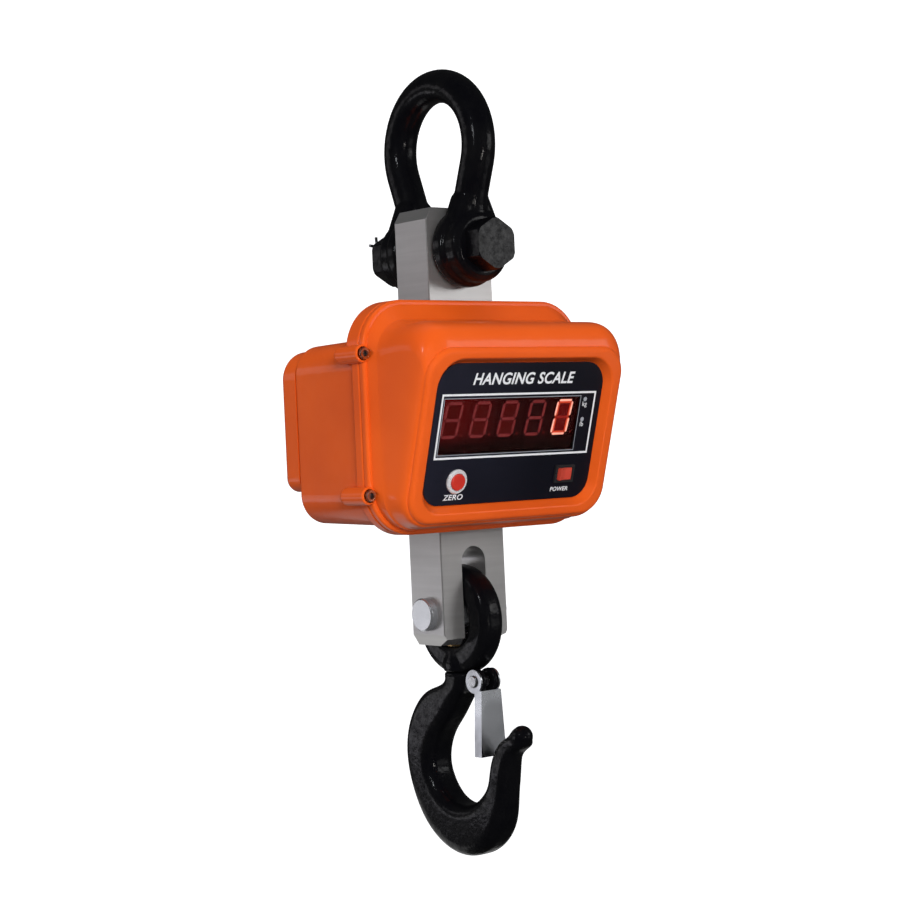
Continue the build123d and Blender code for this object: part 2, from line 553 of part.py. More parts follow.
def power_switch():
    """Rocker frame with its body, and the rocker resting pressed to one side."""
    frame = panel_block(-10.5, 10.5, -7.5, 7.5, 0, 2)
    frame = chamfer(frame.edges().group_by(Axis.Y)[0], 0.6)
    frame = frame + panel_block(-9.5, 9.5, -6.6, 6.6, -16, 0) - panel_block(-8.1, 8.1, -5.5, 5.5, -10, 3)
    frame = frame - PANEL * rod_y(TRUNNION_RADIUS + RUNNING_GAP, -6.3, 6.3, z=PIVOT_W)
    for u in (-5, 5):
        frame = frame + panel_block(u - 0.4, u + 0.4, -2.4, 2.4, -24, -15.5)
    shift = PANEL * Pos(ROCKER_U, ROCKER_V, 0) * PANEL.inverse()
    keep("switch_frame", shift * frame)
    side_view = Polygon((-7.1, -3.3), (-2.5, -6.0), (2.5, -6.0), (7.1, -3.3), (7.1, 2.8), (0, 1.7), (-7.1, 2.8),
                        align=None)
    cap = extrude(Plane.XZ * side_view, 5.2, both=True)
    cap = cap + rod_y(TRUNNION_RADIUS, -6.1, 6.1, z=PIVOT_W)
    cap = Pos(0, 0, PIVOT_W) * Rot(0, ROCKER_TILT, 0) * Pos(0, 0, -PIVOT_W) * cap
    keep("rocker_cap", PANEL * Pos(ROCKER_U, ROCKER_V, 0) * cap)


# ---------------------------------------------------------------- eye link, hook and latch
def eye_link():
    """Forged ring on the lower pin with a boss that carries the hook's shank."""
    eye_z = LOWER_PIN_Z + LOWER_PIN_RADIUS + EYE_GAP - EYE_INSIDE
    radial = EYE_OUTSIDE - EYE_INSIDE
    section = Plane.XY * Pos(0, EYE_INSIDE + radial / 2) * RectangleRounded(EYE_SECTION, radial, 8.5)
    ring = Pos(0, 0, eye_z) * revolve(section, Axis.X, 360)
    base = LEVEL + BOSS_BASE
    seat = LEVEL + NUT_SEAT
    boss = rod_z(15.8, base, base + 8) + Pos(0, 0, base + 14) * Cone(15.8, 10.5, 12)
    boss = fillet(boss.edges().group_by(Axis.Z)[0], 1.5)
    link = ring + boss - block(-60, 60, -60, 60, base - 20, base)
    link = link - rod_z(12.6, seat, seat + 14) - rod_z(SHANK_RADIUS + RUNNING_GAP, base - 1, seat + 1)
    keep("eye_link", link)
    washer = rod_z(12.3, seat, seat + 1.5) - rod_z(SHANK_RADIUS + 0.1, seat - 1, seat + 3)
    keep("thrust_washer", washer)


def bowl_point(angle, radius):
    """Point around the bowl's centre, angle in degrees from +Y towards -Z."""
    turn = math.radians(angle)
    return (BOWL_Y + radius * math.cos(turn), BOWL_LEVEL - radius * math.sin(turn))


def hook_stations():
    """Stations along the hook: outer point, inner point (Y, height) and width across X."""
    stations = [((14, -191), (-14, -191), 28), ((16, -199), (-13, -201), 29),
                ((35, -206), (-4, -213), 30), ((54, -220), (10, -230), 31),
                ((65, -239), (24, -245), 32)]
    for angle, depth, width in ((3, 35.5, 33), (27, 35, 33), (50, 38, 33), (72, 41.5, 33), (93, 43.5, 33),
                                (113, 41, 32), (134, 33.5, 29), (155, 24.5, 25)):
        stations.append((bowl_point(angle, BOWL_RADIUS + depth), bowl_point(angle, BOWL_RADIUS), width))
    stations += [((-62.5, -271.5), (-40, -268.5), 24), ((-65, -261.5), (-44, -256.5), 22),
                 ((-70.5, -254), (-53, -245), 20), ((-81, -246), (-67.5, -233.5), 17)]
    return stations


def hook():
    """Hook with its shank and latch lugs, and the nut that carries it in the eye link."""
    sections = []
    for outer, inner, width in hook_stations():
        middle = ((outer[0] + inner[0]) / 2, (outer[1] + inner[1]) / 2)
        across = (outer[0] - inner[0], outer[1] - inner[1])
        depth = math.hypot(*across)
        plane = Plane(origin=(0, middle[0], LEVEL + middle[1]), x_dir=(1, 0, 0),
                      z_dir=(0, across[1], -across[0]))
        corner = 0.36 * min(width, depth)
        sections.append(plane * RectangleRounded(width, depth, corner))
    body = loft(sections)
    outer, inner, width = hook_stations()[-1]
    tip = Pos(0, (outer[0] + inner[0]) / 2, LEVEL + (outer[1] + inner[1]) / 2)
    body = body + tip * Sphere(math.dist(outer, inner) / 2)
    neck_top = LEVEL + BOSS_BASE - EYE_GAP
    seat = LEVEL + NUT_SEAT
    body = body + rod_z(NECK_RADIUS, LEVEL - 191, neck_top)
    body = body + rod_z(SHANK_RADIUS, LEVEL - 195, seat + 12)
    lug_z = LEVEL + LATCH_LEVEL
    for side in (-1, 1):
        cheek = rod_x(10.5, side * 3.6, side * 8.6, y=LATCH_Y, z=lug_z)
        root = block(side * 3.6, side * 8.6, LATCH_Y, -8, lug_z - 10.5, lug_z + 6)
        body = body + cheek + root
    body = body - rod_x(LATCH_PIN_RADIUS, -12, 12, y=LATCH_Y, z=lug_z)
    body = body - rod_x(1.5, -14, 14, z=seat + 7)
    keep("hook", body)
    nut = rod_z(12.3, seat + 1.5, seat + 11) - rod_z(SHANK_RADIUS, seat, seat + 13)
    nut = chamfer(nut.edges().group_by(Axis.Z)[-1].sort_by(SortBy.LENGTH)[-1], 1.0)
    keep("hook_nut", nut - rod_x(1.5, -14, 14, z=seat + 7))
    keep("nut_pin", rod_x(1.5, -11.8, 11.8, z=seat + 7))

    rivet = rod_x(LATCH_PIN_RADIUS, -11.2, 11.2, y=LATCH_Y, z=lug_z)
    for side in (-1, 1):
        head = rod_x(5.2, side * 11.0, side * 12.6, y=LATCH_Y, z=lug_z)
        rivet = rivet + chamfer(head.edges().group_by(Axis.X)[-1 if side > 0 else 0], 0.7)
    keep("latch_pin", rivet)


def latch():
    """Folded sheet latch with its two ears, and the torsion spring on the rivet."""
    sheet = 1.6
    top, bottom = LEVEL - 203.5, LEVEL - 259.0
    narrow, wide = 10.8, 13.8
    face = [(-narrow, top), (narrow, top), (wide, bottom), (-wide, bottom)]
    plate = upright_sheet(face, LATCH_FACE_Y, LATCH_FACE_Y + sheet)
    lug_z = LEVEL + LATCH_LEVEL
    for side in (-1, 1):
        edge = [(side * (narrow - sheet), top), (side * narrow, top),
                (side * wide, bottom), (side * (wide - sheet), bottom)]
        flange = upright_sheet(edge, LATCH_FACE_Y, LATCH_FACE_Y + 9)
        ear = rod_x(10.0, side * (narrow - sheet), side * narrow, y=LATCH_Y, z=lug_z)
        plate = plate + flange + ear
    plate = plate - rod_x(LATCH_PIN_RADIUS + RUNNING_GAP, -14, 14, y=LATCH_Y, z=lug_z)
    keep("latch_plate", plate)

    wire = 0.6
    coil_radius = 4.2
    pitch = 1.5
    coil_path = Helix(pitch, 4 * pitch, coil_radius)
    coil_start = Plane(origin=coil_path @ 0, z_dir=coil_path % 0)
    coil = sweep(coil_start * Circle(wire), path=coil_path)
    coil = Rot(0, 90, 0) * Pos(0, 0, -2 * pitch) * coil
    keep("latch_spring", Pos(0, LATCH_Y, lug_z) * coil)


def main():
    """Build every node and write one STEP file for each."""
    shackle()
    load_bar()
    lower_pin()
    front_shell()
    rear_shell()
    shell_screws()
    battery_door()
    battery()
    panel()
    zero_button()
    power_switch()
    eye_link()
    hook()
    latch()
    os.makedirs("parts", exist_ok=True)
    for name, shape in NODES.items():
        export_step(shape, f"parts/{name}.step")
        print(name, round(shape.volume), "mm3")


main()
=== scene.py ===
"""Looks of the crane scale: paint, steel, display, printed panel, studio and camera.

Metres, in the CAD's own frame: +Z up the load axis, the display faces -Y, origin at the hang point.
"""

import json
import math

import bpy
from mathutils import Matrix, Vector


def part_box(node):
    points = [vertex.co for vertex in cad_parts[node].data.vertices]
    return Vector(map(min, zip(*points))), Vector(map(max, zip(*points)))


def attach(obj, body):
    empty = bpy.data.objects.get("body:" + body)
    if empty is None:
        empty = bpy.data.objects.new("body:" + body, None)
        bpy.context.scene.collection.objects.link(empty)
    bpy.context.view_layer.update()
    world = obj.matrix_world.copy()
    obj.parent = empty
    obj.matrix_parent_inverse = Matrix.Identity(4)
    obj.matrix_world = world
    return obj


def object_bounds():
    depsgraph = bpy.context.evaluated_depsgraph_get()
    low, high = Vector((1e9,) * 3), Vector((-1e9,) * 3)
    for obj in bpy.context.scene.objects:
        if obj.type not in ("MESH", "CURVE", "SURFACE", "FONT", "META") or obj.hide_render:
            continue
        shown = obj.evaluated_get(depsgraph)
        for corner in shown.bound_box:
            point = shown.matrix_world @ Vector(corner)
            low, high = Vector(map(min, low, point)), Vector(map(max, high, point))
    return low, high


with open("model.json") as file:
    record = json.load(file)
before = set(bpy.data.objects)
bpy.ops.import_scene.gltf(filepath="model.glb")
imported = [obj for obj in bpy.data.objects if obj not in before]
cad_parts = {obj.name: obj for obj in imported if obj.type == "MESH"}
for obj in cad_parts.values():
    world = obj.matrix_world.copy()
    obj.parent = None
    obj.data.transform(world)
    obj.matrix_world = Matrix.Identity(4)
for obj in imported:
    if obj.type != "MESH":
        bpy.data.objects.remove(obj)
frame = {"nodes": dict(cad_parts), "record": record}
cad_low, cad_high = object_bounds()
NODES = frame["nodes"]

LEVEL = -0.297                  # height of the display's middle line, and of the camera
VIEW_TURN = math.atan2(0.632, 0.775)    # how far the camera stands round to the left
VIEW_ROLL = math.radians(2.63)
VIEW_DISTANCE = 1.764
PANEL_TILT = math.radians(16.8)
PANEL_Y = -0.0805               # the panel's face on that line
ACROSS = Vector((1, 0, 0))
UP_PANEL = Vector((0, -math.sin(PANEL_TILT), math.cos(PANEL_TILT)))
OUT_OF_PANEL = Vector((0, -math.cos(PANEL_TILT), -math.sin(PANEL_TILT)))


# ---------------------------------------------------------------- node material helpers
class Paint:
    """One node material being built: its tree, its Principled shader and the object-space coordinates."""

    def __init__(self, name, colour, roughness, metallic=0.0, **sockets):
        self.material = bpy.data.materials.new(name)
        self.material.use_nodes = True
        self.tree = self.material.node_tree
        self.shader = self.tree.nodes["Principled BSDF"]
        self.place = self.add("ShaderNodeTexCoord").outputs["Object"]
        self.shader.inputs["Base Color"].default_value = (*colour, 1)
        self.shader.inputs["Roughness"].default_value = roughness
        self.shader.inputs["Metallic"].default_value = metallic
        for socket, value in sockets.items():
            self.shader.inputs[socket.replace("_", " ")].default_value = value
        self.height = None

    def add(self, kind, **values):
        """Add a node and set the named properties on it."""
        node = self.tree.nodes.new(kind)
        for key, value in values.items():
            setattr(node, key, value)
        return node

    def join(self, source, target):
        """Link an output to an input."""
        self.tree.links.new(source, target)

    def noise(self, scale, detail=3.0, rough=0.55, stretch=(1, 1, 1), distortion=0.0):
        """Noise in object space; stretch above 1 makes it finer along that axis."""
        mapping = self.add("ShaderNodeMapping")
        mapping.inputs["Scale"].default_value = stretch
        self.join(self.place, mapping.inputs["Vector"])
        texture = self.add("ShaderNodeTexNoise")
        texture.inputs["Scale"].default_value = scale
        texture.inputs["Detail"].default_value = detail
        texture.inputs["Roughness"].default_value = rough
        texture.inputs["Distortion"].default_value = distortion
        self.join(mapping.outputs["Vector"], texture.inputs["Vector"])
        return texture.outputs["Fac"]

    def spots(self, scale):
        """Distance to the nearest of many scattered points, in object space."""
        texture = self.add("ShaderNodeTexVoronoi")
        texture.inputs["Scale"].default_value = scale
        self.join(self.place, texture.inputs["Vector"])
        return texture.outputs["Distance"]

    def spread(self, source, low, high, at=(0.35, 0.65)):
        """Map a 0 to 1 value onto the range low to high, between the two places in at."""
        node = self.add("ShaderNodeMapRange")
        node.inputs["From Min"].default_value = at[0]
        node.inputs["From Max"].default_value = at[1]
        node.inputs["To Min"].default_value = low
        node.inputs["To Max"].default_value = high
        self.join(source, node.inputs["Value"])
        return node.outputs["Result"]

    def ramp_along(self, axis, start, end):
        """Value that runs from 0 to 1 between two places along an object axis, in metres."""
        parts = self.add("ShaderNodeSeparateXYZ")
        self.join(self.place, parts.inputs["Vector"])
        return self.spread(parts.outputs[axis], 0, 1, (start, end))

    def product(self, first, second):
        """Multiply two values."""
        node = self.add("ShaderNodeMath", operation="MULTIPLY")
        self.join(first, node.inputs[0])
        self.join(second, node.inputs[1])
        return node.outputs[0]

    def colours(self, source, *stops):
        """Colour ramp over a value; each stop is (place, colour)."""
        ramp = self.add("ShaderNodeValToRGB")
        elements = ramp.color_ramp.elements
        while len(elements) < len(stops):
            elements.new(0.5)
        for element, (place, colour) in zip(elements, stops):
            element.position = place
            element.color = (*colour, 1)
        self.join(source, ramp.inputs["Fac"])
        self.join(ramp.outputs["Color"], self.shader.inputs["Base Color"])
        return ramp.outputs["Color"]

    def roughness(self, source, low, high):
        """Vary the roughness with a value."""
        self.join(self.spread(source, low, high), self.shader.inputs["Roughness"])

    def bump(self, source, distance, strength=1.0):
        """Add a bump layer, distance in metres, on top of the earlier ones."""
        node = self.add("ShaderNodeBump")
        node.inputs["Distance"].default_value = distance
        node.inputs["Strength"].default_value = strength
        self.join(source, node.inputs["Height"])
        if self.height is not None:
            self.join(self.height, node.inputs["Normal"])
        self.height = node.outputs["Normal"]
        self.join(self.height, self.shader.inputs["Normal"])
        if "Coat Normal" in self.shader.inputs:
            self.join(self.height, self.shader.inputs["Coat Normal"])


def enamel():
    """Orange gloss enamel with orange peel, slow colour drift and a few handling marks."""
    paint = Paint("orange_enamel", (0.75, 0.10, 0.010), 0.42, Specular_IOR_Level=0.3,
                  Coat_Weight=0.45, Coat_Roughness=0.09)
    drift = paint.noise(9, 3)
    paint.colours(drift, (0.30, (0.70, 0.088, 0.008)), (0.70, (0.80, 0.112, 0.011)))
    paint.roughness(paint.noise(35, 5, 0.7), 0.36, 0.50)
    paint.bump(paint.noise(420, 2), 0.00010, 0.30)
    paint.bump(paint.noise(45, 2), 0.0005, 0.22)
    return paint.material


def forging_paint():
    """Black gloss paint over a forged skin: low lumps, fine pitting and rubbed patches."""
    paint = Paint("forging_paint", (0.004, 0.004, 0.005), 0.45, Specular_IOR_Level=0.10,
                  Coat_Weight=0.55, Coat_Roughness=0.05)
    wear = paint.noise(28, 6, 0.65)
    paint.colours(wear, (0.35, (0.0014, 0.0014, 0.0024)), (0.62, (0.003, 0.003, 0.0036)),
                  (0.82, (0.012, 0.011, 0.010)))
    paint.roughness(paint.noise(60, 5, 0.7), 0.38, 0.55)
    paint.join(paint.spread(paint.noise(170, 5, 0.7), 0.15, 0.60), paint.shader.inputs["Coat Weight"])
    paint.bump(paint.noise(38, 3), 0.0012, 0.50)
    paint.bump(paint.noise(190, 4, 0.6), 0.00045, 0.75)
    return paint.material


def ground_steel(name, colour, dark, roughness, stretch, grain=0.00001):
    """Ground bar: soft cloudiness, faint stains and a barely raised grain."""
    paint = Paint(name, colour, roughness, 0.85)
    cloud = paint.noise(22, 3, 0.5)
    scratch = paint.noise(240, 2, 0.5, stretch)
    mix = paint.add("ShaderNodeMath", operation="MULTIPLY_ADD")
    mix.inputs[1].default_value = 0.5
    paint.join(scratch, mix.inputs[0])
    half = paint.add("ShaderNodeMath", operation="MULTIPLY")
    half.inputs[1].default_value = 0.5
    paint.join(cloud, half.inputs[0])
    paint.join(half.outputs[0], mix.inputs[2])
    light = tuple(min(1, c * 1.12) for c in colour)
    paint.colours(mix.outputs[0], (0.32, dark), (0.52, colour), (0.75, light))
    paint.roughness(cloud, roughness - 0.01, roughness + 0.03)
    paint.bump(scratch, grain, 0.05)
    return paint.material


def plated(name, colour, dark, roughness=0.30, scale=90, metal=1.0):
    """Zinc plate or polished metal: mottled tone and small dents."""
    paint = Paint(name, colour, roughness, metal)
    mottle = paint.noise(scale, 5, 0.65)
    paint.colours(mottle, (0.34, dark), (0.60, colour))
    paint.roughness(paint.noise(scale * 1.7, 4), roughness - 0.08, roughness + 0.12)
    paint.bump(paint.noise(scale * 3, 3), 0.00003, 0.3)
    return paint.material


def moulded(name, colour, light, roughness, grain=900, coat=0.0):
    """Moulded plastic or rubber: fine grain and slight tone drift."""
    paint = Paint(name, colour, roughness, Coat_Weight=coat, Coat_Roughness=0.08)
    paint.colours(paint.noise(55, 4), (0.30, colour), (0.72, light))
    paint.roughness(paint.noise(120, 4), roughness - 0.05, roughness + 0.08)
    paint.bump(paint.noise(grain, 2), 0.00004, 0.5)
    return paint.material


def overlay_film():
    """Printed polyester overlay: deep navy black, satin, with a painted sheen that lightens it towards its
    left side, broken up by noise.
    """
    paint = Paint("overlay_film", (0.005, 0.006, 0.013), 0.34, Specular_IOR_Level=0.25,
                  Coat_Weight=0.20, Coat_Roughness=0.12)
    # painted sheen: base colour lightened towards the left end of the panel and mottled by noise, standing
    # in for a soft reflection
    painted_sheen = paint.product(paint.ramp_along("X", 0.03, -0.10), paint.spread(paint.noise(14, 4), 0.6, 1.0))
    paint.colours(painted_sheen, (0.0, (0.004, 0.004, 0.008)), (1.0, (0.015, 0.015, 0.026)))
    paint.roughness(paint.noise(300, 3), 0.28, 0.40)
    paint.bump(paint.noise(1500, 1), 0.00001, 0.15)
    return paint.material


def window_glass():
    """Clear smoked window over the digits."""
    paint = Paint("window_glass", (1.0, 0.55, 0.50), 0.03, IOR=1.12, Transmission_Weight=1.0)
    paint.roughness(paint.noise(90, 4), 0.01, 0.04)
    paint.bump(paint.noise(18, 2), 0.0001, 0.04)
    return paint.material


def glowing(name, colour, strength):
    """Display segment: dark moulded diffuser with emission, a little uneven; real light on the lit
    segments, painted glow on the unlit ones, the fills and the halo.
    """
    paint = Paint(name, (0.003, 0.001, 0.001), 0.6, Specular_IOR_Level=0.02)
    paint.colours(paint.noise(260, 3), (0.3, (0.003, 0.001, 0.001)), (0.7, (0.006, 0.002, 0.002)))
    paint.shader.inputs["Emission Color"].default_value = (*colour, 1)
    paint.join(paint.spread(paint.noise(180, 2), strength * 0.88, strength * 1.12),
               paint.shader.inputs["Emission Strength"])
    return paint.material


def digit_face():
    """Dark red face of the display blocks, with a painted glow that is brightest at its upper left and
    fades to nearly black below the digits.
    """
    paint = Paint("digit_face", (0.002, 0.0004, 0.0004), 0.6, Specular_IOR_Level=0.02)
    paint.colours(paint.noise(90, 3), (0.3, (0.0015, 0.0003, 0.0003)), (0.7, (0.003, 0.0006, 0.0006)))
    # painted glow: emission rising towards the left and up the face, standing in for stray light on the
    # blocks
    across = paint.ramp_along("X", 0.015, -0.085)
    height = paint.ramp_along("Z", LEVEL + 0.003, LEVEL + 0.016)
    painted_glow = paint.spread(across, 0.008, 0.075, (0.30, 1))
    paint.shader.inputs["Emission Color"].default_value = (1, 0.06, 0.07, 1)
    paint.join(paint.product(painted_glow, paint.spread(height, 0.03, 1.0, (0, 1))),
               paint.shader.inputs["Emission Strength"])
    return paint.material


def print_ink(name, colour):
    """Screen printed ink: nearly flat, with small pinholes in its tone."""
    paint = Paint(name, colour, 0.45)
    paint.colours(paint.noise(1200, 2), (0.30, tuple(c * 0.85 for c in colour)), (0.60, colour))
    paint.bump(paint.noise(2200, 1), 0.00001, 0.4)
    return paint.material


def circuit_board():
    """Green solder mask with a fine pattern of pads."""
    paint = Paint("circuit_board", (0.01, 0.10, 0.04), 0.35, Coat_Weight=0.4)
    paint.colours(paint.spots(260), (0.18, (0.55, 0.50, 0.38)), (0.24, (0.008, 0.09, 0.035)),
                  (0.8, (0.012, 0.13, 0.05)))
    paint.bump(paint.spots(260), 0.0002, 0.4)
    return paint.material


LOOKS = {
    "shell_orange": enamel(),
    "forging_black": forging_paint(),
    "bar_steel": ground_steel("bar_steel", (0.58, 0.57, 0.565), (0.54, 0.53, 0.525), 0.33, (0.05, 0.05, 1)),
    "pin_steel": ground_steel("pin_steel", (0.60, 0.61, 0.64), (0.52, 0.53, 0.55), 0.20,
                              (0.3, 0.3, 0.3), 0.0),
    "zinc": plated("zinc_plate", (0.66, 0.67, 0.68), (0.46, 0.47, 0.48), 0.28),
    "latch_zinc": plated("latch_plate_zinc", (0.86, 0.88, 0.92), (0.70, 0.72, 0.76), 0.34, 18),
    "spring_steel": plated("spring_steel", (0.38, 0.38, 0.40), (0.22, 0.22, 0.23), 0.30, 300),
    "bezel_chrome": plated("chrome_ring", (0.95, 0.95, 0.97), (0.84, 0.84, 0.86), 0.28, 120, 0.40),
    "socket_nickel": plated("nickel_socket", (0.72, 0.71, 0.70), (0.55, 0.54, 0.52), 0.20, 200),
    "cover_aluminium": plated("cover_aluminium", (0.70, 0.70, 0.71), (0.55, 0.55, 0.56), 0.38, 120),
    "tray_zinc": plated("tray_zinc", (0.58, 0.59, 0.60), (0.42, 0.43, 0.44), 0.38, 60),
    "washer_bronze": plated("washer_bronze", (0.60, 0.42, 0.20), (0.42, 0.28, 0.12), 0.32, 150),
    "panel_black": overlay_film(),
    "filter_red": window_glass(),
    "digit_red": moulded("digit_block", (0.0045, 0.0012, 0.0012), (0.012, 0.0025, 0.003), 0.6),
    "board_green": circuit_board(),
    "spacer_nylon": moulded("nylon_spacer", (0.72, 0.70, 0.64), (0.82, 0.80, 0.75), 0.45),
    "button_red": moulded("button_red", (0.50, 0.022, 0.014), (0.62, 0.038, 0.022), 0.34, 700, 0.35),
    "rocker_red": moulded("rocker_red", (0.52, 0.050, 0.030), (0.60, 0.066, 0.040), 0.38, 700, 0.25),
    "switch_black": moulded("switch_black", (0.010, 0.010, 0.011), (0.022, 0.022, 0.024), 0.32),
    "bracket_steel": moulded("bracket_paint", (0.05, 0.05, 0.055), (0.09, 0.09, 0.095), 0.50, 300),
    "rubber_black": moulded("black_rubber", (0.012, 0.012, 0.012), (0.030, 0.030, 0.029), 0.65, 600),
    "gauge_amber": moulded("gauge_foil", (0.48, 0.28, 0.06), (0.62, 0.40, 0.12), 0.35),
    "gland_black": moulded("gland_nylon", (0.016, 0.016, 0.016), (0.035, 0.035, 0.034), 0.45),
    "battery_grey": moulded("battery_case", (0.035, 0.036, 0.042), (0.060, 0.062, 0.070), 0.48, 500),
}


def dress_cad_nodes():
    """Give every CAD node the look of its record slot."""
    slots = {row["node"]: row["material_slot"] for row in frame["record"]["subparts"]}
    for name, node in NODES.items():
        node.data.materials.clear()
        node.data.materials.append(LOOKS[slots[name]])


# ---------------------------------------------------------------- forgings
def melt(name, voxel, passes):
    """Blend a forging's joined solids into one soft skin, as a die forging has."""
    node = NODES[name]
    remesh = node.modifiers.new("skin", "REMESH")
    remesh.mode = "VOXEL"
    remesh.voxel_size = voxel
    remesh.use_smooth_shade = True
    soften = node.modifiers.new("soften", "SMOOTH")
    soften.factor = 0.5
    soften.iterations = passes


def forgings():
    """Soft blended skins on the shackle's bow, the eye link and the hook."""
    melt("shackle_bow", 0.0011, 10)
    melt("eye_link", 0.0010, 6)
    melt("hook", 0.0011, 8)


# ---------------------------------------------------------------- printed panel and digits
def on_panel(u, v, w):
    """Point in the panel's frame, metres: u across, v up the panel, w out of its face."""
    return Vector((0, PANEL_Y, LEVEL)) + u * ACROSS + v * UP_PANEL + w * OUT_OF_PANEL


def flat_piece(name, outlines, w, thickness, look):
    """Thin raised prints: each outline is a loop of (u, v) points, all in one mesh."""
    vertices = []
    faces = []
    for loop in outlines:
        count = len(loop)
        base = len(vertices)
        for height in (w, w + thickness):
            vertices += [on_panel(u, v, height) for u, v in loop]
        faces.append([base + i for i in reversed(range(count))])
        faces.append([base + count + i for i in range(count)])
        for i in range(count):
            j = (i + 1) % count
            faces.append([base + i, base + j, base + count + j, base + count + i])
    mesh = bpy.data.meshes.new(name)
    mesh.from_pydata(vertices, [], faces)
    mesh.validate()
    piece = bpy.data.objects.new(name, mesh)
    bpy.context.scene.collection.objects.link(piece)
    mesh.materials.append(look)
    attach(piece, "scale_body")
    return piece


def box_loop(u0, u1, v0, v1):
    """Rectangle as a loop of (u, v) points."""
    return [(u0, v0), (u1, v0), (u1, v1), (u0, v1)]


def frame_loops(u0, u1, v0, v1, line):
    """Four bars that make a printed rectangle of that line width."""
    return [box_loop(u0, u1, v0, v0 + line), box_loop(u0, u1, v1 - line, v1),
            box_loop(u0, u0 + line, v0 + line, v1 - line), box_loop(u1 - line, u1, v0 + line, v1 - line)]


DIGIT_SLANT = 0.117             # sideways lean of the digits per unit of height
DIGIT_SIZE = (0.0306, 0.0180)   # height and width
DIGIT_MIDDLE = 0.0241           # height of the digits' middle line on the panel
DIGIT_PITCH = 0.0298
FIRST_DIGIT = -0.0688
MASK_LEVEL = -0.0032            # depth of the display blocks' face
SEGMENT_LEVEL = -0.00219        # depth of the segments, in front of that face
LAMP_U = 0.0722                 # the column of units beside the window
LAMP_RADIUS = 0.0019
INK = 0.00008                   # thickness of the printed ink
INK_LEVEL = 0.00002


def segment_loops(letters, height, width, stroke, gap):
    """Seven-segment bars around the origin as pointed six-sided loops, before slanting."""
    half = stroke / 2
    x = width / 2 - half
    y = height / 2 - half
    spans = {"a": ((-x, y), (x, y)), "g": ((-x, 0), (x, 0)), "d": ((-x, -y), (x, -y)),
             "f": ((-x, 0), (-x, y)), "b": ((x, 0), (x, y)), "e": ((-x, -y), (-x, 0)),
             "c": ((x, -y), (x, 0))}
    loops = []
    for letter in letters:
        (x0, y0), (x1, y1) = spans[letter]
        if y0 == y1:
            a, b = x0 + gap, x1 - gap
            loops.append([(a, y0), (a + half, y0 - half), (b - half, y0 - half), (b, y0),
                          (b - half, y0 + half), (a + half, y0 + half)])
        else:
            a, b = y0 + gap, y1 - gap
            loops.append([(x0, a), (x0 + half, a + half), (x0 + half, b - half), (x0, b),
                          (x0 - half, b - half), (x0 - half, a + half)])
    return loops


def slanted(loop, place):
    """Move a loop to a digit's place and lean it to the right."""
    return [(place + x + DIGIT_SLANT * y, DIGIT_MIDDLE + y) for x, y in loop]


def round_loop(u, v, radius, count):
    """Circle as a loop of (u, v) points."""
    turns = [math.tau * k / count for k in range(count)]
    return [(u + radius * math.cos(turn), v + radius * math.sin(turn)) for turn in turns]


def display():
    """Digit faces behind the window, with unlit digits and one lit zero, plus painted glow: fills behind
    the cells, light on the unlit segments and points, and a halo round the zero.
    """
    low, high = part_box("display_filter")
    cell = (high.x - low.x) / 5
    places = [FIRST_DIGIT + i * DIGIT_PITCH for i in range(5)]
    faces = [box_loop(low.x + i * cell + 0.00005, low.x + (i + 1) * cell - 0.00005, -0.0040, 0.0421)
             for i in range(5)]
    flat_piece("digit_masks", faces, MASK_LEVEL, 0.0010, digit_face())
    fill = [box_loop(-0.0072, 0.0072, -0.0136, 0.0136)]
    digits = {
        # painted glow: flat glowing fills behind the unlit cells and behind the lit zero
        "digit_glow": ((0, 1, 2), fill, 0.00001, glowing("cell_fill_painted_glow", (1, 0.06, 0.06), 0.045)),
        "lit_digit_glow": ((4,), fill, 0.00001, glowing("lit_cell_painted_halo", (1, 0.04, 0.04), 0.09)),
        # painted glow on the unlit segments, standing in for the light they catch
        "unlit_digits": ((0, 1, 2, 3), segment_loops("abcdefg", *DIGIT_SIZE, 0.0026, 0.0006), 0.00004,
                         glowing("unlit_segment_painted_glow", (1, 0.26, 0.30), 0.15)),
        # painted glow on the zero's unlit middle bar
        "lit_digit_middle": ((4,), segment_loops("g", *DIGIT_SIZE, 0.0022, 0.0006), 0.00004,
                             glowing("dark_segment_painted_glow", (1, 0.10, 0.08), 0.25)),
        # painted halo: wider, dimmer glowing strokes round the lit segments
        "lit_digit_edge": ((4,), segment_loops("abcdef", *DIGIT_SIZE, 0.0034, 0.0002), 0.00004,
                           glowing("lit_segment_painted_halo", (1, 0.16, 0.07), 0.62)),
        "lit_digit": ((4,), segment_loops("abcdef", *DIGIT_SIZE, 0.0017, 0.0012), 0.00007,
                      glowing("segment_lit", (1, 0.75, 0.62), 1.20)),
    }
    for name, (cells, loops, thickness, look) in digits.items():
        outlines = [slanted(loop, places[i]) for i in cells for loop in loops]
        flat_piece(name, outlines, SEGMENT_LEVEL, thickness, look)
    # painted glow on the unlit decimal points
    points = [round_loop(place + 0.0118, 0.0112, 0.0012, 16) for place in places]
    flat_piece("decimal_points", points, SEGMENT_LEVEL, 0.00004,
                       glowing("unlit_point_painted_glow", (1, 0.16, 0.18), 0.08))


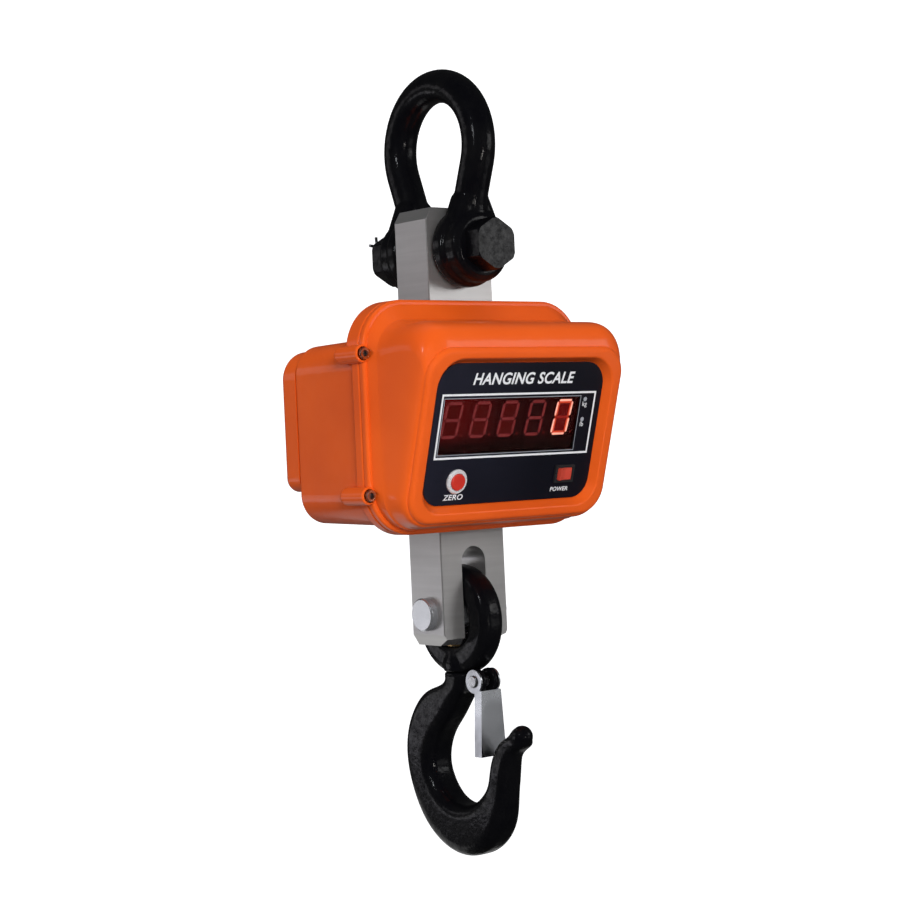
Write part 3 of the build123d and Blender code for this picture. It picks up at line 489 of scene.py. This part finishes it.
def text_piece(name, words, u, v, height, look, shear=0.0, bold=0.0, stretch=1.0):
    """Printed words on the panel: centred on u, standing on v, of that capital height."""
    curve = bpy.data.curves.new(name, "FONT")
    curve.body = words
    curve.size = height / 0.70
    curve.shear = shear
    curve.offset = bold
    curve.space_character = 1.05
    curve.align_x = "CENTER"
    curve.extrude = 0.00004
    curve.resolution_u = 4
    holder = bpy.data.objects.new(name + "_curve", curve)
    bpy.context.scene.collection.objects.link(holder)
    bpy.context.view_layer.update()
    mesh = bpy.data.meshes.new_from_object(holder.evaluated_get(bpy.context.evaluated_depsgraph_get()))
    bpy.data.objects.remove(holder)
    turn = Matrix((ACROSS, UP_PANEL, OUT_OF_PANEL)).transposed().to_4x4()
    mesh.transform(Matrix.Translation(on_panel(u, v, 0.00006)) @ turn @ Matrix.Diagonal((stretch, 1, 1, 1)))
    mesh.materials.clear()
    mesh.materials.append(look)
    piece = bpy.data.objects.new(name, mesh)
    bpy.context.scene.collection.objects.link(piece)
    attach(piece, "scale_body")


def prints():
    """White frame, thin grey window line, caption, labels and unit marks."""
    white = print_ink("white_ink", (0.80, 0.81, 0.83))
    grey = print_ink("grey_ink", (0.36, 0.38, 0.42))
    flat_piece("white_frame", frame_loops(-0.0838, 0.0836, -0.0079, 0.0464, 0.0017),
                       INK_LEVEL, INK, white)
    low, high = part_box("display_filter")
    line = frame_loops(low.x - 0.0006, high.x + 0.0006, -0.0047, 0.0428, 0.0005)
    flat_piece("window_line", line, INK_LEVEL, INK, grey)
    text_piece("caption", "HANGING SCALE", 0.0000, 0.0540, 0.0095, white, 0.22, 0.00030, 0.99)
    text_piece("zero_label", "ZERO", -0.0580, -0.0424, 0.0045, white, 0.15, 0.00010, 1.20)
    text_piece("switch_label", "POWER", 0.0575, -0.0402, 0.0036, white, 0.15, 0.00010, 1.10)
    text_piece("unit_label_upper", "kg", LAMP_U, 0.0335, 0.0040, white, 0.0, 0.00003, 1.0)
    text_piece("unit_label_lower", "lb", LAMP_U, 0.0160, 0.0040, white, 0.0, 0.00003, 1.0)
    lamps = [round_loop(LAMP_U, v, LAMP_RADIUS, 20) for v in (0.0395, 0.0220)]
    flat_piece("unit_lamps", lamps, INK_LEVEL, INK, grey)


# ---------------------------------------------------------------- studio
def area_light(name, place, aim, size, power, colour=(1, 1, 1), mirrored=True):
    """Rectangular soft light that looks at a point; mirrored ones show in glossy surfaces."""
    data = bpy.data.lights.new(name, "AREA")
    data.shape = "RECTANGLE"
    data.size, data.size_y = size
    data.energy = power
    data.color = colour
    light = bpy.data.objects.new(name, data)
    light.location = place
    light.visible_glossy = mirrored
    light.rotation_euler = (Vector(aim) - Vector(place)).to_track_quat("-Z", "Y").to_euler()
    bpy.context.scene.collection.objects.link(light)


def sweep(forward, right):
    """Pale floor that curves up into a backdrop behind the hanging scale."""
    floor_z = cad_low.z - 0.35
    back, front, half, bend = 3.0, -4.0, 3.5, 1.4
    profile = [(front, floor_z), (back - bend, floor_z)]
    for step in range(1, 17):
        turn = math.radians(90 * step / 16)
        profile.append((back - bend + bend * math.sin(turn), floor_z + bend * (1 - math.cos(turn))))
    profile.append((back, floor_z + 4.5))
    vertices = []
    for along, height in profile:
        for side in (-half, half):
            vertices.append(forward * along + right * side + Vector((0, 0, height)))
    faces = [[2 * i, 2 * i + 1, 2 * i + 3, 2 * i + 2] for i in range(len(profile) - 1)]
    mesh = bpy.data.meshes.new("sweep")
    mesh.from_pydata(vertices, [], faces)
    mesh.shade_smooth()
    paper = Paint("sweep_paper", (0.88, 0.88, 0.88), 0.8)
    paper.colours(paper.noise(3, 2), (0.3, (0.87, 0.87, 0.875)), (0.7, (0.89, 0.89, 0.895)))
    paper.shader.inputs["Emission Color"].default_value = (1, 1, 1, 1)
    paper.shader.inputs["Emission Strength"].default_value = 0.68
    mesh.materials.append(paper.material)
    ground = bpy.data.objects.new("sweep", mesh)
    bpy.context.scene.collection.objects.link(ground)
    ground.visible_glossy = False
    ground.visible_diffuse = False


def pale_world():
    """World that looks white behind the scale, lights it dimly and reflects as almost dark."""
    world = bpy.data.worlds.new("pale_world")
    world.use_nodes = True
    tree = world.node_tree
    rays = tree.nodes.new("ShaderNodeLightPath")
    last = tree.nodes["Background"]
    last.inputs["Color"].default_value = (0.90, 0.93, 1.0, 1)
    last.inputs["Strength"].default_value = 0.13
    for ray, strength in (("Is Glossy Ray", 0.035), ("Is Camera Ray", 1.0)):
        seen = tree.nodes.new("ShaderNodeBackground")
        seen.inputs["Color"].default_value = (1, 1, 1, 1)
        seen.inputs["Strength"].default_value = strength
        mix = tree.nodes.new("ShaderNodeMixShader")
        tree.links.new(rays.outputs[ray], mix.inputs["Fac"])
        tree.links.new(last.outputs[0], mix.inputs[1])
        tree.links.new(seen.outputs[0], mix.inputs[2])
        last = mix
    tree.links.new(last.outputs[0], tree.nodes["World Output"].inputs["Surface"])
    bpy.context.scene.world = world


def studio():
    """Pale surroundings and soft lights placed round the line of sight."""
    forward = Vector((math.sin(VIEW_TURN), math.cos(VIEW_TURN), 0))
    right = Vector((math.cos(VIEW_TURN), -math.sin(VIEW_TURN), 0))
    sweep(forward, right)
    pale_world()

    def place(ahead, aside, height):
        return forward * ahead + right * aside + Vector((0, 0, LEVEL + height))

    centre = place(0, 0, 0)
    area_light("key", place(-1.9, 0.35, 0.55), centre, (0.9, 0.6), 31, mirrored=False)
    area_light("left", place(-1.0, -1.7, 0.05), centre, (0.5, 1.1), 6.8, mirrored=False)
    area_light("low", place(-1.5, 0.7, -0.75), centre, (0.6, 0.4), 15, mirrored=False)
    area_light("right_high", place(-0.38, 1.9, 0.42), centre, (0.9, 0.54), 2.9)
    area_light("right_low", place(-0.38, 1.9, -0.40), centre, (0.9, 0.50), 0.5)
    area_light("left_high", place(0.4, -1.9, 0.46), centre, (1.2, 0.40), 0.95, (0.95, 0.92, 0.96))
    area_light("left_middle", place(0.4, -1.9, -0.26), centre, (1.2, 0.24), 0.75)
    area_light("left_low", place(0.4, -1.9, -0.44), centre, (1.2, 0.20), 0.85, (0.92, 0.90, 1.0))
    area_light("window_left", place(-1.5, -0.95, 0.75), centre, (0.10, 0.28), 2.6, (0.92, 0.95, 1.0))
    area_light("window_right", place(-1.6, 1.0, -0.20), centre, (0.08, 0.22), 1.8, (1.0, 0.95, 0.90))
    area_light("under", place(0.45, -0.25, -0.62), place(0, 0, -0.24), (1.1, 0.40), 0.9)
    area_light("backdrop", place(0.9, 0, 2.6), place(2.9, 0, 0.1), (3, 1), 36, mirrored=False)
    area_light("ground", place(0.2, 0, 2.8), place(0.9, 0, -0.9), (2.5, 1), 14, mirrored=False)


def camera():
    """Long lens at the display's height, seen from the left front, with a slight roll."""
    data = bpy.data.cameras.new("camera")
    data.sensor_width = 36
    data.lens = 82.4
    data.shift_x = -0.0025
    view = bpy.data.objects.new("camera", data)
    forward = Vector((math.sin(VIEW_TURN), math.cos(VIEW_TURN), 0))
    right = Vector((math.cos(VIEW_TURN), -math.sin(VIEW_TURN), 0))
    up = math.cos(VIEW_ROLL) * Vector((0, 0, 1)) + math.sin(VIEW_ROLL) * right
    side = forward.cross(up)
    turn = Matrix((side, up, -forward)).transposed().to_4x4()
    view.matrix_world = Matrix.Translation(-VIEW_DISTANCE * forward + Vector((0, 0, LEVEL))) @ turn
    bpy.context.scene.collection.objects.link(view)
    bpy.context.scene.camera = view


dress_cad_nodes()
forgings()
display()
prints()
studio()
camera()
bpy.context.scene.view_settings.view_transform = "Standard"

bpy.context.view_layer.update()
